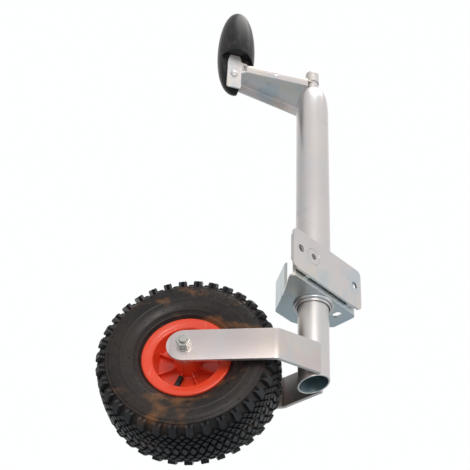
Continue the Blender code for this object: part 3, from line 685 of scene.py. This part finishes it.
# %% Nibs
def nibs():
    bm = bmesh.new()
    for turn, count in ((8, 16), (-24, 16), (20, 24)):
        for k in range(count):
            for side in (1, -1):
                angle = math.tau * (k + 0.3 * turn) / count
                radius, across = tyre_point(turn)
                foot = Matrix.Translation((radius, side * (across + 0.5 * MM), 0))
                out = Matrix.Rotation(-side * math.pi / 2, 4, "X")
                bmesh.ops.create_cone(bm, cap_ends=True, segments=6, radius1=0.75 * MM, radius2=0.45 * MM,
                                      depth=2.4 * MM, matrix=Matrix.Rotation(-angle, 4, "Y") @ foot @ out)
    return bm


piece("tyre_nibs", nibs(), "wheel", TREAD, WHEEL)

# %% [markdown]
# ## The rim halves
# Each half is a dish: a rolled lip, a sloping wall, a flat web and a hub. Thin ribs run from the hub
# to the wall to stiffen the web, and a rounded outline gives the lip its long highlight.

# %% Rims
HUB_END = reach("rim_near", NEAR, WHEEL_AT)[1]
HUB_R = 17 * MM
WEB_SIDE = 12 * MM
RIB_COUNT = 8
RIB_HALF = 1.1 * MM
WEB_FILLET = 3.4 * MM


def rim_outline():
    bore = 11 * MM
    lip = 2.6 * MM
    outline = [(bore, 0.2 * MM), (RIM_SEAT, 0.2 * MM), (RIM_SEAT, 29.0 * MM)]
    outline += [(RIM_SEAT + 1.2 * MM, 30.2 * MM), (RIM_LIP - 4 * MM, 30.8 * MM)]
    outline += arc((RIM_LIP - lip, 33.6 * MM), lip, -70, 100, 12)
    outline += [(RIM_LIP - 6 * MM, 36.3 * MM), (RIM_LIP - 9.5 * MM, 35.4 * MM)]
    outline += arc((RIM_SEAT + 2.2 * MM, 31.2 * MM), WEB_FILLET, 80, 190, 8)
    outline += [(RIM_SEAT - WEB_FILLET, 20 * MM)]
    outline += arc((RIM_SEAT - 8 * MM, WEB_SIDE + WEB_FILLET), WEB_FILLET, 0, -90, 6)
    outline += [(HUB_R + 3 * MM, WEB_SIDE)]
    outline += arc((HUB_R + 3 * MM, WEB_SIDE + 3 * MM), 3 * MM, -90, -180, 5)
    outline += [(HUB_R, HUB_END - 1.2 * MM), (HUB_R - 1.2 * MM, HUB_END), (bore, HUB_END)]
    return outline


def rib(angle):
    """One rib: a thin web plate whose top slopes from the hub down to the dish's wall."""
    low = WEB_SIDE - 1 * MM
    outline = [(HUB_R - 1 * MM, low), (RIM_SEAT - 3 * MM, low), (RIM_SEAT - 3 * MM, WEB_SIDE + 8 * MM),
               (HUB_R + 5 * MM, WEB_SIDE + 6 * MM), (HUB_R - 1 * MM, WEB_SIDE + 10 * MM)]
    bm = plate(outline, -RIB_HALF, RIB_HALF)
    stand = Matrix(((1, 0, 0), (0, 0, -1), (0, 1, 0))).to_4x4()
    bm.transform(Matrix.Rotation(angle, 4, "Z") @ stand)
    return bm


def turned_to(side):
    return WHEEL @ Matrix.Rotation(-side * math.pi / 2, 4, "X")


for place, side in (("near", 1), ("far", -1)):
    piece(f"rim_dish_{place}", lathe(rim_outline(), 144), "wheel", RIM_RED, turned_to(side),
          [f"rim_{place}"], 50)
    for index in range(RIB_COUNT):
        angle = math.tau * (index + 0.5) / RIB_COUNT
        made = piece(f"rim_rib_{place}_{index + 1}", rib(angle), "wheel", RIM_RED, turned_to(side))
        soften(made, 0.7 * MM, 3)

# %% [markdown]
# ## The handle
# The grip is a long egg. A round recess and a flat below it take the crank's ear, and a third cut leaves room
# for the end of the channel to pass as the handle folds. All three are cut from a dense mesh, so their rims
# stay clean, and a fine bevel rounds them.

# %% Grip
GRIP_AT = Vector(JOINTS["grip_fold"]["pos_m"])
HINGE = Matrix.Translation(GRIP_AT) @ CRANK.to_3x3().to_4x4()
GRIP_LOW, GRIP_HIGH = reach("grip", UP, GRIP_AT)
GRIP_HALF = (GRIP_HIGH - GRIP_LOW) / 2
GRIP_MID = (GRIP_HIGH + GRIP_LOW) / 2
GRIP_R = reach("grip", CRANK.col[0].xyz, GRIP_AT)[1] + 5 * MM
CRANK_SHEET = 3 * MM
GRIP_SIDE = -(CRANK_SHEET + 13 * MM)
GRIP_OFFSET = 5 * MM
RECESS_R = 41 * MM
SWEEP_R = 42 * MM
ROOM_TOP = 28 * MM
ROOM_EDGE = -10 * MM
FOOT_TOP = -20 * MM


def cutter(name, bm, where):
    bmesh.ops.recalc_face_normals(bm, faces=bm.faces)
    bm.transform(where)
    mesh = bpy.data.meshes.new(name)
    bm.to_mesh(mesh)
    bm.free()
    made = bpy.data.objects.new(name, mesh)
    bpy.context.scene.collection.objects.link(made)
    made.hide_render = True
    made.hide_viewport = True
    return made


def cut(made, other):
    change = made.modifiers.new("cut_" + other.name, "BOOLEAN")
    change.operation = "DIFFERENCE"
    change.object = other
    change.solver = "EXACT"


def grip_outline():
    outline = [(0.0, -GRIP_HALF)]
    for k in range(1, 64):
        turn = -math.pi / 2 + math.pi * k / 64
        radius = GRIP_R * math.cos(turn) ** 0.82 * (1 - 0.05 * math.sin(turn))
        outline.append((radius, GRIP_HALF * math.sin(turn)))
    return outline + [(0.0, GRIP_HALF)]


grip_place = HINGE @ Matrix.Translation((-GRIP_OFFSET, GRIP_SIDE, GRIP_MID))
handle = piece("grip_moulded", lathe(grip_outline(), 96), "handle", GRIP_BLACK, grip_place,
               ["grip"])
FACE = -(CRANK_SHEET + 0.6 * MM)
PAST = 40 * MM
disc = lathe([(0, FACE), (RECESS_R, FACE), (RECESS_R, PAST), (0, PAST)], 96)
cut(handle, cutter("grip_recess_cut", disc, HINGE @ TO_Y))
foot = plate([(-PAST, FACE), (PAST, FACE), (PAST, PAST), (-PAST, PAST)], -60 * MM, FOOT_TOP)
cut(handle, cutter("grip_foot_cut", foot, HINGE))
start = 180 - math.degrees(math.asin(ROOM_TOP / SWEEP_R))
end = 180 + math.degrees(math.acos(-ROOM_EDGE / SWEEP_R))
room = plate([(ROOM_EDGE, ROOM_TOP)] + arc((0, 0), SWEEP_R, start, end, 24), -60 * MM, 60 * MM)
cut(handle, cutter("grip_room_cut", room, HINGE @ FACING_Y))
soften(handle, 1.2 * MM, 3, 40)

# %% [markdown]
# ## The crank's arm
# The arm starts as flat sheet and is folded into a channel, open below, with a rounded bend on each side. It
# narrows from the spindle to its end on the far side only. The near flange is straight: it passes close
# beside the spindle, and an ear on its end carries the handle. The channel is swept: one section of
# points whose far half moves in along the way.

# %% Crank channel
FLANGE = 17 * MM
CHANNEL_BACK = -4 * MM
HUB_FAR = 60 * MM
END_FAR = 32 * MM
EAR_HALF = 11 * MM
RIVET_DROP = 26 * MM
DIMPLE_R = 9 * MM
DIMPLE_ALONG = 62 * MM
SPINDLE_R = reach("spindle", (1, 0, 0), LEG_AT)[1]
CHANNEL_NEAR = SPINDLE_R + 0.3 * MM + CRANK_SHEET
HANDLE_AT = (GRIP_AT - Vector((*LEG_AT[:2], GRIP_AT.z))).dot(CRANK.col[0].xyz)
CHANNEL_END = HANDLE_AT - EAR_HALF - 1 * MM
CHANNEL_TOP = GRIP_AT.z + RIVET_DROP


def fold(side, half):
    """One half of the folded sheet: over the bend, down the flange, round its edge and back inside."""
    bend, edge = 4.5 * MM, 0.6 * MM
    low = -FLANGE + edge
    points = arc((half - bend, -bend), bend, 90, 0, 6)
    points += arc((half - edge, low), edge, 0, -90, 2)
    points += arc((half - CRANK_SHEET + edge, low), edge, -90, -180, 2)
    points += arc((half - bend, -bend), bend - CRANK_SHEET, 0, 90, 4)
    return [(side * y, z) for y, z in points]


def channel():
    bm = bmesh.new()
    rows = []
    for along in np.linspace(CHANNEL_BACK, CHANNEL_END, 20):
        share = (along - CHANNEL_BACK) / (CHANNEL_END - CHANNEL_BACK)
        far = HUB_FAR + (END_FAR - HUB_FAR) * share
        near_side = fold(1, CHANNEL_NEAR)
        far_side = fold(-1, far)
        ring = near_side + far_side[::-1]
        rows.append([bm.verts.new((along, y, CHANNEL_TOP + z)) for y, z in ring])
    skin(bm, rows, closed_ends=True)
    return bm


def slab(low, high):
    """A box between two corners, for tabs and for cutters."""
    corners = [(low[0], low[1]), (high[0], low[1]), (high[0], high[1]), (low[0], high[1])]
    return plate(corners, low[2], high[2])


arm = piece("crank_channel", channel(), "crank", ZINC_SHEET, CRANK, ["crank_arm"])
wide_bore = SPINDLE_R + 0.3 * MM
hole = lathe([(0, -30 * MM), (wide_bore, -30 * MM), (wide_bore, 30 * MM), (0, 30 * MM)], 64)
cut(arm, cutter("crank_hole_cut", hole, CRANK @ Matrix.Translation((0, 0, CHANNEL_TOP))))
BELOW, ABOVE = CHANNEL_TOP - 30 * MM, CHANNEL_TOP + 10 * MM
beside = slab((-1 * MM, SPINDLE_R, BELOW), (SPINDLE_R + 2 * MM, 20 * MM, ABOVE))
cut(arm, cutter("crank_side_cut", beside, CRANK))
behind = slab((-20 * MM, 0, BELOW), (0, 20 * MM, ABOVE))
cut(arm, cutter("crank_back_cut", behind, CRANK))
dimple = bmesh.new()
bmesh.ops.create_uvsphere(dimple, u_segments=32, v_segments=16, radius=DIMPLE_R)
dimple_at = CRANK @ Matrix.Translation((DIMPLE_ALONG, CHANNEL_NEAR + 8.3 * MM, CHANNEL_TOP - 7 * MM))
cut(arm, cutter("crank_dimple_cut", dimple, dimple_at))
soften(arm, 0.5 * MM, 2, 50)

# %% Ear and its rivet head
EAR_LOW = reach("crank_arm", UP)[0] - CHANNEL_TOP
EAR_HIGH = reach("crank_arm", UP)[1] - CHANNEL_TOP


def rounded(outline, radius, steps=6):
    """An outline with each corner drawn as a short curve."""
    done = []
    count = len(outline)
    for k, corner in enumerate(outline):
        here = Vector(corner)
        before = Vector(outline[k - 1]) - here
        after = Vector(outline[(k + 1) % count]) - here
        trim = min(radius, before.length * 0.45, after.length * 0.45)
        start = here + before.normalized() * trim
        end = here + after.normalized() * trim
        for step in range(steps + 1):
            t = step / steps
            done.append(tuple(start * (1 - t) ** 2 + here * 2 * t * (1 - t) + end * t**2))
    return done


def ear():
    inner, outer = HANDLE_AT - EAR_HALF, HANDLE_AT + EAR_HALF
    start = CHANNEL_END - 8 * MM
    outline = [(start, -FLANGE), (inner, -FLANGE - 4 * MM), (inner, EAR_LOW), (outer, EAR_LOW)]
    outline += [(outer, -1 * MM), (outer - 3 * MM, EAR_HIGH), (inner + 3 * MM, EAR_HIGH)]
    outline += [(inner, 0), (start, 0)]
    bm = plate(rounded(outline, 3.5 * MM), 0, CRANK_SHEET)
    bm.transform(Matrix.Translation((0, CHANNEL_NEAR, CHANNEL_TOP)) @ FACING_Y)
    return bm


soften(piece("crank_ear", ear(), "crank", ZINC_SHEET, CRANK), 0.7 * MM, 3)

# %% [markdown]
# ## The mounting plate
# The plate and the bracket are pressings. The plate gets its whole outline again with rounder corners and a
# soft edge, a folded lip on one side, two small tabs below, holes for the bolt and the lock, and a sunk seat
# for the rivet.

# %% Plate
PLATE_X = reach("mount_plate", (1, 0, 0))
PLATE_Y = reach("mount_plate", (0, 1, 0))
PLATE_Z = reach("mount_plate", UP)
PLATE_THICK = 3.5 * MM
PIVOT_AT = Vector(JOINTS["bracket_swing"]["pos_m"])
LOCK_X = sum(reach("lock_pin", (1, 0, 0))) / 2
BOLT_X = PLATE_X[0] + 15 * MM
DRILL_DEPTH = 30 * MM
PLATE_CORNER_R = 9 * MM
BOLT_HOLE_R = 5.5 * MM
LOCK_HOLE_R = 5.4 * MM
PIVOT_HOLE_R = 9 * MM
SEAT_R = 12.3 * MM
SEAT_DEPTH = 2.2 * MM
TABS_ALONG = (29 * MM, 113 * MM)
TAB_WIDTH = 7 * MM


def plate_blank():
    (left, right), (low, high) = PLATE_X, PLATE_Z
    corners = [(left, low), (right, low), (right, high), (left, high)]
    bm = plate(rounded(corners, PLATE_CORNER_R), -PLATE_THICK, 0)
    bm.transform(FACING_Y)
    return bm


def drill(made, name, radius, place, turn, begin=-DRILL_DEPTH):
    bm = lathe([(0, begin), (radius, begin), (radius, DRILL_DEPTH), (0, DRILL_DEPTH)], 64)
    cut(made, cutter(name, bm, Matrix.Translation(place) @ turn))


panel = piece("plate_pressed", plate_blank(), "mount", ZINC_SHEET, None, ["mount_plate"])
drill(panel, "plate_bolt_hole", BOLT_HOLE_R, (BOLT_X, 0, PIVOT_AT.z), TO_Y)
drill(panel, "plate_lock_hole", LOCK_HOLE_R, (LOCK_X, 0, PIVOT_AT.z), TO_Y)
drill(panel, "plate_pivot_hole", PIVOT_HOLE_R, PIVOT_AT, TO_Y)
drill(panel, "plate_pivot_seat", SEAT_R, PIVOT_AT + Vector((0, SEAT_DEPTH, 0)), FACING_Y, 0.0)
soften(panel, 0.9 * MM, 3)
LIP_HALF = PLATE_Z[1] - 11 * MM
lip = slab((PLATE_X[0], PLATE_THICK - 0.6 * MM, -LIP_HALF), (PLATE_X[0] + 3 * MM, PLATE_Y[1], LIP_HALF))
soften(piece("plate_lip", lip, "mount", ZINC_SHEET, None), 1.1 * MM, 4)
for index, along in enumerate(TABS_ALONG):
    x = PLATE_X[0] + along
    tab = slab((x, PLATE_THICK - 0.6 * MM, PLATE_Z[0]), (x + TAB_WIDTH, PLATE_Y[1], PLATE_Z[0] + 5 * MM))
    soften(piece(f"plate_tab_{index + 1}", tab, "mount", ZINC_SHEET, None), 0.8 * MM, 3)

# %% [markdown]
# ## What stays as it was drawn
# The bracket, the fasteners and everything inside keep the frame's own mesh. They still need a surface and
# slightly round edges, so one loop goes through the nodes nobody replaced and gives each a material
# by what it is made of, a smooth shade and a bevel sized to the node. The bracket's blue-grey zinc is
# painted light: it stands for the cool bounce that falls on its undersides.

# %% Materials and soft edges for the kept nodes
BY_SLOT = {
    "zinc_steel": ZINC_SHEET,
    "bolt_steel": BOLT_STEEL,
    "black_plastic": GRIP_BLACK,
    "tyre_rubber": TREAD,
    "soft_rubber": SOFT_RUBBER,
    "red_rim": RIM_RED,
    "nylon": NYLON,
    "brass": BRASS,
}
# The bracket takes the blue-grey copy, which paints the cool bounce on its undersides into its colour.
BY_NAME = {"spindle_nut": BRONZE, "valve_stem": SOFT_RUBBER, "spindle": ZINC_TUBE, "spindle_cap": ZINC_TUBE,
           "swivel_bracket": ZINC_PAINTED_COOL_BOUNCE}
FINE = {"swivel_bracket": 0.9, "axle_nut": 0.6, "axle_bolt": 0.6, "lock_knob": 0.9, "spindle_cap": 0.8}
slots = {entry["node"]: entry["material_slot"] for entry in frame["record"]["subparts"]}
for name, node in sorted(frame["nodes"].items()):
    if name in REBUILT:
        continue
    surface = BY_NAME.get(name, BY_SLOT[slots[name]])
    node.data.materials.clear()
    node.data.materials.append(surface)
    node.data.shade_smooth()
    node.data.set_sharp_from_angle(angle=math.radians(SMOOTH_UNDER))
    soften(node, FINE.get(name, 0.25) * MM, 3 if name in FINE else 2, SMOOTH_UNDER)
print("kept nodes dressed:", len(frame["nodes"]) - len(REBUILT))

# %% [markdown]
# ## Camera, light and floor
# The stand is seen from below, past its wheel, with a long lens, so a nearly white sky fills the picture. The
# floor lies far beneath and only shows in what the zinc reflects. A warm light stands high near the camera, a
# weak cool one fills from the right, and a third from above and behind draws the edges.

# %% Camera
VIEW_TURN = -45.07
VIEW_RISE = -38.4
VIEW_ROLL = 2.4
AIM = Vector((-0.051, 0.129, 0.095))
DISTANCE = 1.85
LENS = 99.5
SENSOR = 36


def back_of(turn, rise):
    turn, rise = math.radians(turn), math.radians(rise)
    return Vector((math.sin(turn) * math.cos(rise), -math.cos(turn) * math.cos(rise), math.sin(rise)))


camera = bpy.data.objects.new("camera", bpy.data.cameras.new("camera"))
bpy.context.scene.collection.objects.link(camera)
camera.data.lens = LENS
camera.data.sensor_width = SENSOR
BACK = back_of(VIEW_TURN, VIEW_RISE)
camera.location = AIM + BACK * DISTANCE
turned = BACK.to_track_quat("Z", "Y").to_matrix()
camera.matrix_world = Matrix.Translation(camera.location) @ (
    turned @ Matrix.Rotation(math.radians(VIEW_ROLL), 3, "Z")).to_4x4()
camera.data.clip_end = 30
bpy.context.scene.camera = camera

# %% Lights, world and floor
SIDE = turned.col[0]
TALL = turned.col[1]


def lamp(name, across, above, towards, size, power, colour):
    """An area light placed by how far it stands across, above and towards the camera from the stand."""
    light = bpy.data.lights.new(name, "AREA")
    light.shape = "RECTANGLE"
    light.size, light.size_y = size
    light.energy = power
    light.color = colour
    made = bpy.data.objects.new(name, light)
    bpy.context.scene.collection.objects.link(made)
    made.location = AIM + SIDE * across + TALL * above + BACK * towards
    made.rotation_mode = "QUATERNION"
    made.rotation_quaternion = (made.location - AIM).to_track_quat("Z", "Y")


lamp("key", 0.25, 1.0, 1.6, (0.8, 0.8), 17, (1.0, 0.91, 0.87))
lamp("fill", 1.6, -0.3, 0.7, (1.0, 1.4), 3.5, (0.85, 0.94, 1.0))
lamp("rim_light", 0.4, 1.5, -0.9, (1.4, 0.8), 10, (1.0, 0.98, 0.95))
world = bpy.data.worlds.new("studio")
world.use_nodes = True
bpy.context.scene.world = world


def sky(tree):
    """White where the lens looks, a softer white elsewhere, and a darker side that the zinc reflects."""
    def add(kind, inputs, settings=None):
        made = tree.nodes.new(kind)
        for key, value in (settings or {}).items():
            setattr(made, key, value)
        for key, value in inputs.items():
            if isinstance(value, bpy.types.NodeSocket):
                tree.links.new(value, made.inputs[key])
            else:
                made.inputs[key].default_value = value
        return made

    def lobe(direction, low, high, value):
        dot = add("ShaderNodeVectorMath", {0: coords, 1: direction}, {"operation": "DOT_PRODUCT"})
        step = add("ShaderNodeMapRange", {0: dot.outputs["Value"], 1: low, 2: high, 3: 0.0, 4: value},
                   {"interpolation_type": "SMOOTHSTEP"})
        return step.outputs[0]

    coords = tree.nodes.new("ShaderNodeTexCoord").outputs["Generated"]
    bright = lobe(-BACK, 0.70, 0.93, BACKDROP - AROUND)
    shade = lobe(-SIDE, 0.45, 0.95, SHADED - AROUND)
    level = add("ShaderNodeMath", {0: bright, 1: shade}, {"operation": "ADD"})
    level = add("ShaderNodeMath", {0: level.outputs[0], 1: AROUND}, {"operation": "ADD"})
    tree.links.new(level.outputs[0], tree.nodes["Background"].inputs["Strength"])


BACKDROP, AROUND, SHADED = 1.0, 0.72, 0.5
FLOOR_DROP = 2.2
FLOOR_HALF = 6
world.node_tree.nodes["Background"].inputs["Color"].default_value = (0.99, 0.995, 1.0, 1.0)
sky(world.node_tree)
floor_bench = Bench("studio_floor")
floor_tone = floor_bench.noise(3.0, 2.0)
floor_paint = floor_bench.done(
    Base_Color=floor_bench.blend(floor_tone, (0.44, 0.505, 0.54), (0.47, 0.53, 0.56)), Roughness=0.9)
floor_mesh = bpy.data.meshes.new("floor")
floor_bm = bmesh.new()
floor_corners = [floor_bm.verts.new((x * FLOOR_HALF, y * FLOOR_HALF, -FLOOR_DROP))
                 for x, y in ((-1, -1), (1, -1), (1, 1), (-1, 1))]
floor_bm.faces.new(floor_corners)
floor_bm.to_mesh(floor_mesh)
floor_bm.free()
floor_mesh.materials.append(floor_paint)
floor = bpy.data.objects.new("floor", floor_mesh)
bpy.context.scene.collection.objects.link(floor)
bpy.context.scene.view_settings.view_transform = "Standard"

# %% [markdown]
# ## Baking the cuts
# A Boolean looks up its cutter each time the scene is evaluated. When a joint moves a piece, the cutters stay
# behind and the cut would drift off it. So each cut piece keeps its finished mesh and drops its modifiers,
# and the cutters are thrown away.

# %% Baking the cuts
def bake(made):
    graph = bpy.context.evaluated_depsgraph_get()
    finished = bpy.data.meshes.new_from_object(made.evaluated_get(graph), preserve_all_data_layers=True,
                                               depsgraph=graph)
    made.modifiers.clear()
    made.data = finished


cut_pieces = [made for made in bpy.context.scene.objects if any(m.type == "BOOLEAN" for m in made.modifiers)]
used_cutters = {m.object for made in cut_pieces for m in made.modifiers if m.type == "BOOLEAN"}
for cut_piece in cut_pieces:
    bake(cut_piece)
for used in used_cutters:
    bpy.data.objects.remove(used)
print(f"{len(cut_pieces)} cut pieces baked, {len(used_cutters)} cutters removed")
